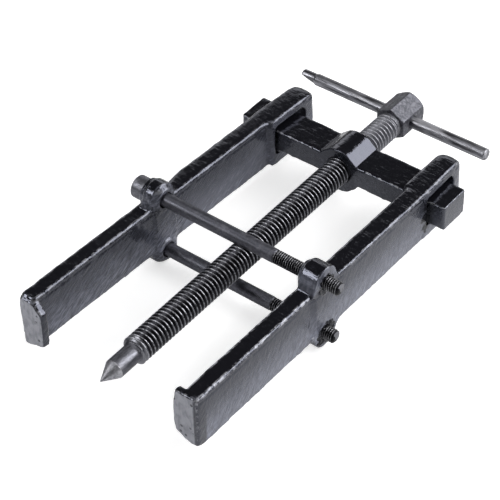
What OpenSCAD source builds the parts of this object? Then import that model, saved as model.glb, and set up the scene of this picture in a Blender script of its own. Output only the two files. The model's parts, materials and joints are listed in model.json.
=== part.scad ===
// Two-jaw puller lying flat: a pressing screw in a square crossbeam, two forged jaws that slide
// on the beam by the windows in their tails, and two long bolts that clamp the jaws together.
// Millimetres. The screw runs along Y with its point towards -Y, the crossbeam lies along X.

/* [Screw] */
// Outside diameter of the screw's thread
screw_d = 12; // [10:0.5:14]
// Distance from one thread crest to the next
screw_pitch = 2; // [1.5:0.25:2.5]
// Depth of the screw's thread
screw_thread_depth = 1.15; // [0.8:0.05:1.4]
// Length of the screw from its point to the front of its hexagon
screw_len = 191; // [170:1:210]
// Distance from the middle of the crossbeam to the front of the hexagon
screw_out = 30.5; // [20:0.5:60]
// Length of the turned point
point_len = 8.2; // [6:0.2:12]
// Diameter of the plain neck behind the point
point_neck_d = 8.5; // [7:0.1:9]
// Length of the plain neck behind the point
point_neck_len = 11; // [6:0.5:16]
// Length of the plain neck in front of the hexagon
head_neck_len = 2.6; // [1:0.2:6]
// Hexagon across its flats
hex_af = 14; // [13:0.5:17]
// Length of the hexagon
hex_len = 16.2; // [14:0.2:20]
// Distance of the bar's hole from the front of the hexagon
bar_hole_at = 7.1; // [5:0.1:10]

/* [Tommy bar] */
// Diameter of the bar
bar_d = 5.4; // [4:0.1:6]
// Length of the bar
bar_len = 96.6; // [80:0.2:120]
// How far the middle of the bar stands to the left of the screw
bar_left = 3.3; // [0:0.1:20]
// Diameter of the thinner tip at the left end
bar_tip_d = 4.6; // [3.5:0.1:4.8]
// Length of the thinner tip
bar_tip_len = 7.6; // [4:0.2:12]

/* [Crossbeam] */
// Length of the beam
beam_len = 104.2; // [98:0.1:120]
// Depth of the beam along the screw
beam_depth = 15.5; // [13:0.5:18]
// Height of the beam
beam_height = 12; // [10:0.5:14]
// How much lower than its ends the underside of the beam stands back between the jaws
beam_relief = 1.4; // [0.4:0.1:2]
// Length of the full section at each end of the beam
beam_end_len = 19.5; // [17:0.1:21]
// Radius of the round crown that holds the screw
crown_r = 10.8; // [9:0.2:14]
// How far the middle of the beam stands to the right of the screw
beam_right = 1.3; // [0:0.1:4]

/* [Jaws] */
// Distance between the inner faces of the two jaws at the bolts
jaw_gap = 73.8; // [60:0.2:76]
// How far the middle of that gap stands to the left of the screw
jaw_left = 0.7; // [0:0.1:3]
// Height of the jaws' tops above the screw's axis
jaw_top = 11.8; // [11:0.1:13]
// Depth of a jaw's inner lower edge below the screw's axis
jaw_low = 12.5; // [11.5:0.1:14]
// How much deeper the outer lower edge lies in front of the bolts
front_keel = 1.8; // [0:0.1:2.5]
// How much deeper the outer lower edge lies behind the bolts
rear_keel = 0.6; // [0:0.1:1.5]
// Thickness of the right jaw in front of the bolts
right_front_web = 7.7; // [6:0.1:8.2]
// Thickness of the left jaw in front of the bolts
left_front_web = 7.1; // [6:0.1:8.2]
// Thickness of a jaw behind the bolts
rear_web = 8.6; // [8.3:0.1:10]
// Distance from the bolts to the front of the right claw
right_claw_at = 78.2; // [60:0.2:90]
// Distance from the bolts to the front of the left claw
left_claw_at = 75.7; // [60:0.1:90]
// How far the right claw reaches in from the jaw's inner face
right_claw_reach = 4.1; // [3:0.1:6]
// How far the left claw reaches in from the jaw's inner face
left_claw_reach = 4.2; // [3:0.1:6]
// Thickness of the claws along the screw
claw_thick = 3.5; // [3:0.1:7]
// How far the right jaw and the bolts have turned in the jaws' play, in degrees
clamp_skew = 0.55; // [0:0.05:0.7]
// How far the left jaw has swung out in its play on the bolts, in degrees
left_swing = 2.05; // [0:0.05:2.4]

/* [Jaw windows] */
// Distance from the bolts to the middle of the crossbeam
beam_at = 77.4; // [60:0.2:90]
// Length of the window along the jaw
window_len = 20.4; // [19:0.1:22]
// Clearance between the beam and the window above it
window_play_above = 2.1; // [0.4:0.1:2.5]
// Clearance between the beam and the window below it
window_play_below = 0.8; // [0.4:0.1:1.2]
// Clearance between the beam and the front of the window
window_front_play = 1.4; // [1.3:0.05:2]
// Thickness of the wall in front of the window
window_front_wall = 3.2; // [3:0.1:6]
// Thickness of the wall behind the window
window_rear_wall = 7.6; // [5:0.1:9]
// How far the window's frame stands in from the jaw's inner face
frame_in = 2.2; // [0.8:0.1:2.5]
// How far the window's frame stands out from the jaw's outer face
frame_out = 0.4; // [0.2:0.1:1]
// How much the frame narrows on its outer side towards the rear
frame_taper = 1.2; // [0.1:0.1:1.5]

/* [Bolt lugs] */
// Height of a bolt's axis above or below the screw
lug_up = 13.5; // [12.5:0.1:16]
// Radius of a lug round its bolt
lug_r = 7; // [6:0.1:8]
// How far the lugs' tapered ends stand in from the jaw's inner face
lug_in = 1.8; // [1:0.1:3]
// Length of the tapered end of a lug
lug_taper = 2.6; // [1:0.1:4]
// Radius of a lug at its tapered end
lug_end_r = 4.9; // [4.4:0.1:5.8]
// How far the left jaw's lugs stand out from its inner face
left_lug_out = 4.9; // [4:0.1:6]
// How far the rib between the lugs stands in from the jaw's inner face
rib_in = 0.8; // [0.6:0.1:2]
// How far the raised rings under the bolts' heads stand out from the left jaw's web
ring_proud = 0.2; // [0.1:0.1:1]

/* [Clamp bolts] */
// Diameter of the bolts
bolt_d = 6; // [5:0.5:7]
// Distance from one thread crest to the next
bolt_pitch = 1; // [0.8:0.1:1.25]
// Depth of the bolts' thread
bolt_thread_depth = 0.6; // [0.4:0.05:0.7]
// Length of a bolt under its head
bolt_len = 96.7; // [92:0.1:110]
// Length of the thread on a bolt
bolt_thread_len = 31; // [24:1:40]
// Diameter of a bolt's head
bolt_head_d = 10; // [9:0.5:11]
// Height of a bolt's head
bolt_head_len = 6; // [5:0.5:7]
// Hexagon socket across its flats
socket_af = 5; // [4:0.5:5]
// How far the lower bolt is turned back from its seat
lower_turned_back = 2; // [0.5:0.5:4]

/* [Fits] */
// Clearance round a screw or bolt in its thread
thread_play = 0.05; // [0.02:0.01:0.1]
// Clearance round the bar in its hole
bar_play = 0.1; // [0.05:0.01:0.3]
// Clearance round a bolt in the left jaw
left_bore_play = 0.45; // [0.4:0.05:0.6]

/* [Rounding] */
// Radius along the upper edges of the jaws
jaw_round = 1.8; // [0.6:0.1:2.2]
// Radius along the lower edges of the jaws
low_round = 1.3; // [0.6:0.1:1.6]
// Radius along the edges of the crossbeam
beam_round = 1.1; // [0.5:0.1:1.5]
// Radius at the jaws' tails as seen from the side
tail_round = 4.4; // [1.5:0.1:5]
// Radius at the jaws' tails as seen from above
tail_plan_round = 4; // [2:0.1:4.4]

/* [Hidden] */

enamel = [0.07, 0.07, 0.08];
gunmetal = [0.30, 0.30, 0.31];
bar_steel = [0.45, 0.45, 0.46];
black_oxide = [0.14, 0.14, 0.16];

$fn = 64;
hexagon_sides = 6;
corner_factor = 1 / cos(30);
cut = 1;
// how far a corner's circle reaches past the straight sides, so that it crosses them cleanly
round_over = 0.004;

// the screw, measured along Y from the middle of the crossbeam
tip_y = screw_out - screw_len;
bar_y = screw_out + bar_hole_at;
back_y = screw_out + hex_len;
hex_r = hex_af / 2 * corner_factor;
bar_hole_r = bar_d / 2 + bar_play;

// the flats on the crown's flanks, which stand this far from the screw and lean this much
crown_flat_in = 0.3;
crown_flat_lean = 50;

// the jaws, measured from their inner face at X = 0 and from the bolts' axis at Y = 0
window_front = beam_at - beam_depth / 2 - window_front_play;
window_back = window_front + window_len;
window_top = beam_height / 2 + window_play_above;
window_low = -beam_height / 2 - window_play_below;
frame_front = window_front - window_front_wall;
frame_back = window_back + window_rear_wall;
window_round = 1.5;
window_front_round = 2.2;
window_rear_round = 3.5;
frame_round = 2.4;
claw_round = 1.1;
lug_front = 2.4;
lug_rear = 1.4;
lug_tuck = 0.1;
lug_fillet = 5;
lug_drop = 1.2;
rib_half = 6.4;
rib_flat = 0.2;
seat_ring_margin = 1.1;
seat_ring_r = bolt_head_d / 2 + seat_ring_margin;
seat_out = left_front_web + ring_proud;
bolt_chamfer = 0.5;

// where the outer face leads from the front web out to the rear web
right_ramp = [-9.5, -6.5];
left_ramp = [8, 18];
// how far back and down a ramp is shifted, so that its ends and its top lie inside the webs
ramp_shift = 0.4;
ramp_sink = 0.01;
rear_web_lap = 0.5;

// outlines of the claws from the front, in distance out from the inner face, height and radius
right_claw = [[-right_claw_reach, -jaw_low + 2.6, claw_round], [4.1, -jaw_low - 1.4, claw_round],
              [right_front_web, -jaw_low - 0.2, claw_round], [right_front_web, jaw_top, claw_round],
              [0.6 - right_claw_reach, jaw_top, claw_round]];
left_claw = [[-left_claw_reach, -jaw_low + 1.6, claw_round], [6, -jaw_low - 2.1, claw_round / 2],
             [left_front_web, -jaw_low - 1.6, claw_round / 2],
             [left_front_web, jaw_top - 1, claw_round],
             [0, jaw_top - 1.5, claw_round], [-left_claw_reach, jaw_top - 6, claw_round]];

// places of the jaws and bolts in the assembly
bolt_y = -beam_at;
right_inner = jaw_gap / 2 - jaw_left;
left_inner = -jaw_gap / 2 - jaw_left;
left_lug_middle = left_inner - (seat_out - lug_in) / 2;
left_half_lug = (seat_out + lug_in) / 2;
seat_clear = 0.02;
head_seat = left_lug_middle - left_half_lug * cos(left_swing)
            - bolt_head_d / 2 * sin(left_swing) - seat_clear;

// the part's own origin is the middle of its box, at the bottom
lower_head_end = head_seat - lower_turned_back - bolt_head_len;
low_x = min(right_inner + (lower_head_end - right_inner) * cos(clamp_skew)
            - (bolt_head_d / 2 - bolt_chamfer) * sin(clamp_skew), -bar_left - bar_len / 2);
high_x = max(beam_right + beam_len / 2, head_seat + bolt_len, bar_len / 2 - bar_left);
middle = [-(low_x + high_x) / 2, -(tip_y + back_y) / 2, lug_up + lug_r];

// rectangle round the origin with round corners, as true arcs
module rounded_rect(size, r) {
    square([size[0] - 2 * r, size[1]], center = true);
    square([size[0], size[1] - 2 * r], center = true);
    for (sx = [-1, 1], sy = [-1, 1])
        translate([sx * (size[0] / 2 - r), sy * (size[1] / 2 - r)])
            circle(r);
}

// a drawing in X and Z, run along Y between two places
module run_along_y(from, to) {
    translate([0, to, 0])
        rotate([90, 0, 0])
            linear_extrude(to - from)
                children();
}

// a drawing in Y and Z, run along X between two places
module run_along_x(from, to) {
    translate([from, 0, 0])
        rotate([90, 0, 90])
            linear_extrude(to - from)
                children();
}

function toward(a, b) = (b - a) / norm(b - a);

// convex outline with round corners, each corner given as [x, y, radius], as true arcs
module round_cornered(corners) {
    count = len(corners);
    rounds = [for (i = [0:count - 1])
        let (r = corners[i][2],
             at = [corners[i][0], corners[i][1]],
             before = corners[(i + count - 1) % count],
             after = corners[(i + 1) % count],
             back = toward(at, [before[0], before[1]]),
             on = toward(at, [after[0], after[1]]),
             half = acos(back * on) / 2)
        [at + back * r / tan(half), at + on * r / tan(half),
         at + toward([0, 0], back + on) * r / sin(half), r]];
    polygon([for (k = rounds, p = [k[0], k[1]]) p]);
    for (k = rounds)
        translate(k[2])
            circle(k[3] + round_over);
}

// bar along Y between an inner and an outer face, with an underside that slants down outwards
module jaw_bar(inner, outer, keel, from, to) {
    run_along_y(from, to)
        round_cornered([[inner, -jaw_low, low_round], [outer, -jaw_low - keel, low_round],
                        [outer, jaw_top, jaw_round], [inner, jaw_top, jaw_round]]);
}

// short bar whose outer face leads from the front web out to the rear web
module web_ramp(front_web, from, to) {
    rise = rear_web - front_web;
    translate([front_web, from, -ramp_sink])
        rotate([0, 0, -atan(rise / (to - from))])
            jaw_bar(-front_web / 2, 0, rear_keel, -ramp_shift, norm([rise, to - from]) - ramp_shift);
}

// points of a thread's rings in radius and height, one ring for each pitch
function thread_rings(r, depth, pitch, from, to) =
    let (turns = floor((to - from) / pitch), crest = pitch / 12)
    [for (i = [0:turns - 1], p = [
        [r - depth, from + i * pitch],
        [r, from + (i + 0.5) * pitch - crest],
        [r, from + (i + 0.5) * pitch + crest]]) p];

module screw_profile() {
    thread_from = point_len + point_neck_len;
    thread_to = screw_len - head_neck_len;
    root_r = screw_d / 2 - screw_thread_depth;
    polygon(concat(
        [[0, 0], [point_neck_d / 2, point_len], [point_neck_d / 2, thread_from]],
        thread_rings(screw_d / 2, screw_thread_depth, screw_pitch, thread_from, thread_to),
        [[root_r, thread_to], [root_r, screw_len + cut], [0, screw_len + cut]]));
}

module hex_head() {
    chamfer_in = 1.6;
    chamfer_back = 1.1;
    slope = chamfer_back / chamfer_in;
    intersection() {
        rotate([0, 0, 30])
            cylinder(h = hex_len, r = hex_r, $fn = hexagon_sides);
        rotate_extrude()
            polygon([[0, 0], [hex_r + cut, 0], [hex_r + cut, hex_len - chamfer_back - cut * slope],
                     [hex_r - chamfer_in, hex_len], [0, hex_len]]);
    }
}

module spindle() {
    color(gunmetal)
    translate(middle)
    difference() {
        union() {
            translate([0, tip_y, 0])
                rotate([-90, 0, 0])
                    rotate_extrude()
                        screw_profile();
            translate([0, screw_out, 0])
                rotate([-90, 0, 0])
                    hex_head();
        }
        translate([-hex_r, bar_y, 0])
            rotate([0, 90, 0])
                cylinder(h = 2 * hex_r, r = bar_hole_r);
    }
}

module tommy_bar() {
    end_chamfer = 0.5;
    flat_lean = 14;
    flat_turn = -35;
    color(bar_steel)
    translate(middle + [-bar_left, bar_y, 0])
    difference() {
        rotate([0, 90, 0])
            rotate_extrude()
                polygon([[0, -bar_len / 2], [bar_tip_d / 2 - end_chamfer, -bar_len / 2],
                         [bar_tip_d / 2, -bar_len / 2 + end_chamfer],
                         [bar_tip_d / 2, -bar_len / 2 + bar_tip_len - end_chamfer],
                         [bar_d / 2, -bar_len / 2 + bar_tip_len],
                         [bar_d / 2, bar_len / 2 - end_chamfer],
                         [bar_d / 2 - end_chamfer, bar_len / 2], [0, bar_len / 2]]);
        // the flat that is ground on the underside of the tip
        translate([-bar_len / 2 + bar_tip_len, 0, 0])
            rotate([flat_turn, 0, 0])
                translate([0, 0, -bar_tip_d / 2])
                    rotate([0, flat_lean, 0])
                        translate([-bar_tip_len - bar_d, -bar_d, -bar_d])
                            cube([bar_tip_len + bar_d, 2 * bar_d, bar_d]);
    }
}

// section of the round crown, with its flat flanks
module crown_section() {
    flats = 2 * [crown_r - crown_flat_in, crown_r];
    intersection() {
        circle(crown_r);
        rotate(crown_flat_lean)
            square(flats, center = true);
        rotate(-crown_flat_lean)
            square(flats, center = true);
    }
}

// length of the beam's bar, whose underside stands back by a relief
module beam_bar(from, to, relief) {
    run_along_x(from, to)
        translate([0, relief / 2])
            rounded_rect([beam_depth, beam_height - relief], beam_round);
}

module crossbeam() {
    half = beam_depth / 2;
    left_end = beam_right - beam_len / 2;
    right_end = beam_right + beam_len / 2;
    color(enamel)
    translate(middle)
    difference() {
        union() {
            intersection() {
                union() {
                    beam_bar(left_end, right_end, beam_relief);
                    beam_bar(left_end, left_end + beam_end_len, 0);
                    beam_bar(right_end - beam_end_len, right_end, 0);
                }
                translate([beam_right, 0, -beam_height])
                    linear_extrude(2 * beam_height)
                        rounded_rect([beam_len, beam_depth], beam_round);
            }
            run_along_y(-half, half)
                crown_section();
        }
        translate([0, half + cut, 0])
            rotate([90, 0, 0])
                cylinder(h = beam_depth + 2 * cut, r = screw_d / 2 + thread_play);
    }
}

// side view of one lug, above the web, in Y and Z
module lug_outline() {
    base = jaw_top - lug_drop;
    r = lug_r - lug_tuck;
    front = 50;
    rear = 33;
    translate([0, lug_up])
        circle(lug_r);
    polygon([[-lug_r - lug_front, base],
             [-r * cos(front), lug_up + r * sin(front)],
             [r * cos(rear), lug_up + r * sin(rear)],
             [lug_r + lug_rear, base]]);
}

// hollow blend behind the lower lug, which touches the lug and the web's underside
module lug_blend() {
    blend_z = -jaw_low - lug_fillet;
    blend_y = sqrt(pow(lug_r + lug_fillet, 2) - pow(lug_up + blend_z, 2));
    difference() {
        polygon([[0, -lug_up], [blend_y, blend_z],
                 [blend_y, -jaw_low + lug_drop], [0, -jaw_low + lug_drop]]);
        translate([blend_y, blend_z])
            circle(lug_fillet);
    }
}

// both lugs with their tapered ends and the rib between them
module lugs(lug_out) {
    run_along_x(lug_taper - lug_in, lug_out) {
        lug_outline();
        mirror([0, 1]) lug_outline();
        lug_blend();
    }
    for (side = [-1, 1])
        translate([-lug_in, 0, side * lug_up])
            rotate([0, 90, 0])
                cylinder(h = lug_taper, r1 = lug_end_r, r2 = lug_r);
    translate([0, 0, -lug_up])
        linear_extrude(2 * lug_up)
            rounded_rect([2 * rib_in, 2 * rib_half], rib_in - rib_flat);
}

module claw(outline, at) {
    reach = -outline[0][0];
    out = max([for (p = outline) p[0]]);
    high = max([for (p = outline) p[1]]);
    low = min([for (p = outline) p[1]]);
    intersection() {
        run_along_y(-at, claw_thick - at)
            round_cornered(outline);
        translate([(out - reach) / 2, claw_thick / 2 - at, low - cut])
            linear_extrude(high - low + 2 * cut)
                rounded_rect([out + reach, claw_thick], claw_round);
        run_along_x(-reach - cut, out + cut)
            translate([claw_thick / 2 - at, (high + low) / 2])
                rounded_rect([claw_thick, high - low], claw_round);
    }
}

module window_frame() {
    outer = rear_web + frame_out;
    under = -jaw_low - rear_keel;
    difference() {
        intersection() {
            jaw_bar(-frame_in, outer, rear_keel, frame_front, frame_back);
            translate([0, 0, under - cut])
                linear_extrude(jaw_top - under + 2 * cut)
                    round_cornered([[-frame_in, frame_front, frame_round],
                                    [outer, frame_front, frame_round],
                                    [outer - frame_taper, frame_back, tail_plan_round],
                                    [-frame_in, frame_back, tail_plan_round]]);
            run_along_x(-frame_in - cut, outer + cut)
                round_cornered([[frame_front, under, tail_round], [frame_back, under, tail_round],
                                [frame_back, jaw_top, tail_round], [frame_front, jaw_top, tail_round]]);
        }
        window_cut();
    }
}

module window_cut() {
    run_along_x(-frame_in - cut, rear_web + frame_out + cut)
        round_cornered([[window_front, window_low, window_round], [window_back, window_low, window_round],
                        [window_back, window_top, window_rear_round],
                        [window_front, window_top, window_front_round]]);
}

// one jaw with its inner face at X = 0 and its bolts at Y = 0
module jaw(front_web, claw_outline, claw_at, ramp, lug_out, bore_r, seat) {
    difference() {
        union() {
            jaw_bar(0, front_web, front_keel, claw_thick / 2 - claw_at, 0);
            jaw_bar(0, front_web, rear_keel, min(0, ramp[0]), ramp[1]);
            web_ramp(front_web, ramp[0], ramp[1]);
            difference() {
                jaw_bar(0, rear_web, rear_keel, ramp[1] - rear_web_lap,
                        frame_front + frame_round + tail_round);
                window_cut();
            }
            window_frame();
            claw(claw_outline, claw_at);
            lugs(lug_out);
            if (seat > lug_out)
                for (side = [-1, 1])
                    translate([lug_out - cut, 0, side * lug_up])
                        rotate([0, 90, 0])
                            cylinder(h = seat - lug_out + cut, r = seat_ring_r);
        }
        for (side = [-1, 1])
            translate([-lug_in - cut, 0, side * lug_up])
                rotate([0, 90, 0])
                    cylinder(h = lug_in + max(seat, lug_out) + 2 * cut, r = bore_r);
    }
}

// frame with its origin on the right jaw's inner face, midway between the bolts
module on_the_bolts() {
    translate(middle + [right_inner, bolt_y, 0])
        rotate([0, 0, -clamp_skew])
            children();
}

module right_jaw() {
    color(enamel)
    on_the_bolts()
        jaw(right_front_web, right_claw, right_claw_at, right_ramp, rear_web,
            bolt_d / 2 + thread_play, 0);
}

module left_jaw() {
    color(enamel)
    on_the_bolts()
        translate([left_lug_middle - right_inner, 0, 0])
            rotate([0, 0, -left_swing])
                translate([left_inner - left_lug_middle, 0, 0])
                    mirror([1, 0, 0])
                        jaw(left_front_web, left_claw, left_claw_at, left_ramp, left_lug_out,
                            bolt_d / 2 + left_bore_play, seat_out);
}

module bolt_profile() {
    r = bolt_d / 2;
    root_r = r - bolt_thread_depth;
    head_r = bolt_head_d / 2;
    thread_from = bolt_len - bolt_thread_len;
    polygon(concat(
        [[0, -bolt_head_len], [head_r - bolt_chamfer, -bolt_head_len],
         [head_r, bolt_chamfer - bolt_head_len], [head_r, 0], [r, 0], [r, thread_from]],
        thread_rings(r, bolt_thread_depth, bolt_pitch, thread_from, bolt_len - bolt_chamfer),
        [[root_r, bolt_len - bolt_chamfer], [root_r - bolt_chamfer, bolt_len], [0, bolt_len]]));
}

module clamp_bolt() {
    socket_depth = bolt_head_len / 2;
    rotate([0, 90, 0])
        difference() {
            rotate_extrude()
                bolt_profile();
            translate([0, 0, -bolt_head_len - cut])
                cylinder(h = socket_depth + cut, r = socket_af / 2 * corner_factor, $fn = hexagon_sides);
        }
}

module upper_clamp_bolt() {
    color(black_oxide)
    on_the_bolts()
        translate([head_seat - right_inner, 0, lug_up])
            clamp_bolt();
}

module lower_clamp_bolt() {
    color(black_oxide)
    on_the_bolts()
        translate([head_seat - lower_turned_back - right_inner, 0, -lug_up])
            clamp_bolt();
}

crossbeam();
left_jaw();
right_jaw();
spindle();
tommy_bar();
upper_clamp_bolt();
lower_clamp_bolt();
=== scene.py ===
"""Looks of the two-jaw puller: forged and enamelled jaws and beam, cut threads, worn steel.

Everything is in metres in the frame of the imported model: X along the crossbeam, Y along the
screw towards its hexagon, Z up. Sizes that belong to one piece are fields of its class, in
millimetres where nothing else is said.
"""

import json
import logging
import math
from dataclasses import dataclass
from enum import Enum
from typing import Callable, Optional, Sequence

import bmesh
import bpy
from mathutils import Matrix, Vector, noise

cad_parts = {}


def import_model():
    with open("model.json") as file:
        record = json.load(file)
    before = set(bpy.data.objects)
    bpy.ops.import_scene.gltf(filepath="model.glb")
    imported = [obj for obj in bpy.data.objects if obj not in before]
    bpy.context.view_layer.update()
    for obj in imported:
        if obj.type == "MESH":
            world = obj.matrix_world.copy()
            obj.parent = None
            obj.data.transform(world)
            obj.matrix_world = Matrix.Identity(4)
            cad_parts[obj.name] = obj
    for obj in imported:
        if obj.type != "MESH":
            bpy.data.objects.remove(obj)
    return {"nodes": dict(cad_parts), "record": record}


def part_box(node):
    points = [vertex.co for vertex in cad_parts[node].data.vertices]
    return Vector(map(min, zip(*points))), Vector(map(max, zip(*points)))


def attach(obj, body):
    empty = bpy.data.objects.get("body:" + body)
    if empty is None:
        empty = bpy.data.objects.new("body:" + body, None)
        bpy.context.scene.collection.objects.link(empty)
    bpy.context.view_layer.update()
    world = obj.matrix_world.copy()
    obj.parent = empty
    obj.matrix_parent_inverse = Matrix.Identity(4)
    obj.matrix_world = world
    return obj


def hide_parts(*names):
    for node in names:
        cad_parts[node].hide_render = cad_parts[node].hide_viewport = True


LOG = logging.getLogger("puller")
MM = 0.001

MERGE = 0.002 * MM  # vertices nearer than this are one vertex
ON_PLANE = 1e-7  # vertices nearer than this to a cutting plane lie on it, in metres
SCREW_Z = 20.5  # height of the screw's axis over the floor
LUGS_BACK = -12.0  # where the bolt lugs end along Y and the smoother rear webs begin
SKIN_PASSES = 2  # how often a new skin is smoothed
PAINTED_GLINT = "rim"  # the attribute that holds a forging's share of painted edge highlight
MOST = (0.3, 0.7)  # the span that holds nearly all values of a noise texture
MIX_A, MIX_B, MIXED = 6, 7, 2  # a mix node's two colour inputs and its colour output

Material = bpy.types.Material
Mesh = bmesh.types.BMesh
Object = bpy.types.Object
Socket = bpy.types.NodeSocket
Colour = tuple[float, float, float]
Factors = tuple[float, float, float]
Span = tuple[float, float]


class Axis(Enum):
    """Axis that a turned piece runs along."""

    X = 0
    Y = 1

    def place(self, along: float, out: float, centre: Vector) -> Vector:
        """Point at a distance along the axis and a radius above it, in metres."""
        x, y, z = centre
        return Vector((along, y, z + out)) if self is Axis.X else Vector((x, along, z + out))

    @property
    def direction(self) -> Vector:
        """Unit vector of the axis."""
        return Vector((1.0, 0.0, 0.0)) if self is Axis.X else Vector((0.0, 1.0, 0.0))


# materials


class Graph:
    """Node tree of a material or a world, with a short call for each kind of value."""

    def __init__(self, owner: bpy.types.ID) -> None:
        """Start with an empty tree.

        Args:
            owner: the material or the world.
        """
        owner.use_nodes = True
        self.owner = owner
        self.tree = owner.node_tree
        self.tree.nodes.clear()
        self.coordinates = self.tree.nodes.new("ShaderNodeTexCoord").outputs
        self.place = self.coordinates["Object"]
        self.facing = self.coordinates["Normal"]

    def join(self, source: object, target: Socket) -> None:
        """Link a socket to an input, or write a plain value or a colour into the input.

        Args:
            source: the socket or the value.
            target: the input.
        """
        if isinstance(source, Socket):
            self.tree.links.new(source, target)
        else:
            target.default_value = (*source, 1.0) if target.type == "RGBA" else source

    def made(self, kind: str, inputs: dict, output: object = 0, **settings: object) -> Socket:
        """Add a node.

        Args:
            kind: the node's type.
            inputs: a socket or a plain value for each input, by its name or number.
            output: the name or number of the output that is used.
            settings: the node's properties.

        Returns:
            The output.
        """
        node = self.tree.nodes.new(kind)
        for key, value in settings.items():
            setattr(node, key, value)
        for key, value in inputs.items():
            self.join(value, node.inputs[key])
        return node.outputs[output]

    def moved(
        self, centre: Sequence[float] = (0.0, 0.0, 0.0), stretch: Factors = (1.0, 1.0, 1.0),
        turn: Sequence[float] = (0.0, 0.0, 0.0),
    ) -> Socket:
        """Object coordinates about a centre, turned and stretched.

        Args:
            centre: the point that becomes the origin, in metres.
            stretch: factor along each turned axis, where more is finer.
            turn: angles about X, Y and Z, in degrees.

        Returns:
            The coordinates.
        """
        shift, angles = [-c for c in centre], [math.radians(a) for a in turn]
        where = self.place
        for key, value in (("Location", shift), ("Rotation", angles), ("Scale", stretch)):
            where = self.made("ShaderNodeMapping", {"Vector": where, key: value})
        return where

    def noise(self, size: float, detail: float = 2.0, where: Optional[Socket] = None) -> Socket:
        """Soft noise about 0.5, in patches of a size in millimetres, with finer detail."""
        inputs = {"Vector": where or self.place, "Scale": 1.0 / (size * MM), "Detail": detail}
        return self.made("ShaderNodeTexNoise", inputs, "Fac")

    def cells(self, size: float) -> Socket:
        """Distance to the nearest of many scattered points, which are a size apart."""
        inputs = {"Vector": self.place, "Scale": 1.0 / (size * MM)}
        return self.made("ShaderNodeTexVoronoi", inputs, "Distance")

    def math(self, operation: str, a: object, b: object = 0.0) -> Socket:
        """Result of one sum on two values."""
        return self.made("ShaderNodeMath", {0: a, 1: b}, operation=operation)

    def times(self, a: object, b: object) -> Socket:
        """Product of two values."""
        return self.math("MULTIPLY", a, b)

    def span(
        self, value: Socket, low: float, high: float, to_low: object = 0.0,
        to_high: float = 1.0, shape: str = "SMOOTHSTEP",
    ) -> Socket:
        """Value taken from one range to another and clamped at both ends.

        Args:
            value: the value.
            low: where the range begins.
            high: where it ends.
            to_low: what low becomes.
            to_high: what high becomes.
            shape: the node's interpolation.

        Returns:
            The new value.
        """
        inputs = {
            "Value": value, "From Min": low, "From Max": high, "To Min": to_low, "To Max": to_high
        }
        return self.made("ShaderNodeMapRange", inputs, "Result", interpolation_type=shape)

    def mix(self, share: object, first: object, second: object) -> Socket:
        """Colour between two colours."""
        inputs = {"Factor": share, MIX_A: first, MIX_B: second}
        return self.made("ShaderNodeMix", inputs, MIXED, data_type="RGBA")

    def part(self, vector: Socket, axis: str) -> Socket:
        """One axis of a vector."""
        return self.made("ShaderNodeSeparateXYZ", {0: vector}, axis)

    def bump(self, height: Socket, depth: float, under: Optional[Socket] = None) -> Socket:
        """Bumped normal.

        Args:
            height: heights from 0 to 1.
            depth: what a height of 1 stands for, in millimetres.
            under: a bumped normal that this one is laid on.

        Returns:
            The normal.
        """
        inputs = {"Strength": 1.0, "Distance": depth * MM, "Height": height}
        if under is not None:
            inputs["Normal"] = under
        return self.made("ShaderNodeBump", inputs)

    def show(self, shader: Socket) -> None:
        """Send a shader to the tree's output."""
        kind = type(self.owner).__name__
        self.join(shader, self.tree.nodes.new("ShaderNodeOutput" + kind).inputs["Surface"])

    def surface(
        self, colour: Socket, metal: float, rough: Socket, normal: Socket,
        index: float = 1.5, tint: Colour = (1.0, 1.0, 1.0),
    ) -> Material:
        """Finish the material.

        Args:
            colour: base colour.
            metal: 1 for bare metal, 0 for a coating.
            rough: roughness.
            normal: a bumped normal.
            index: refractive index of a coating.
            tint: colour of a coating's reflections.

        Returns:
            The material.
        """
        inputs = {
            "Base Color": colour, "Metallic": metal, "Roughness": rough, "IOR": index,
            "Specular Tint": tint, "Normal": normal,
        }
        self.show(self.made("ShaderNodeBsdfPrincipled", inputs))
        return self.owner


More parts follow.
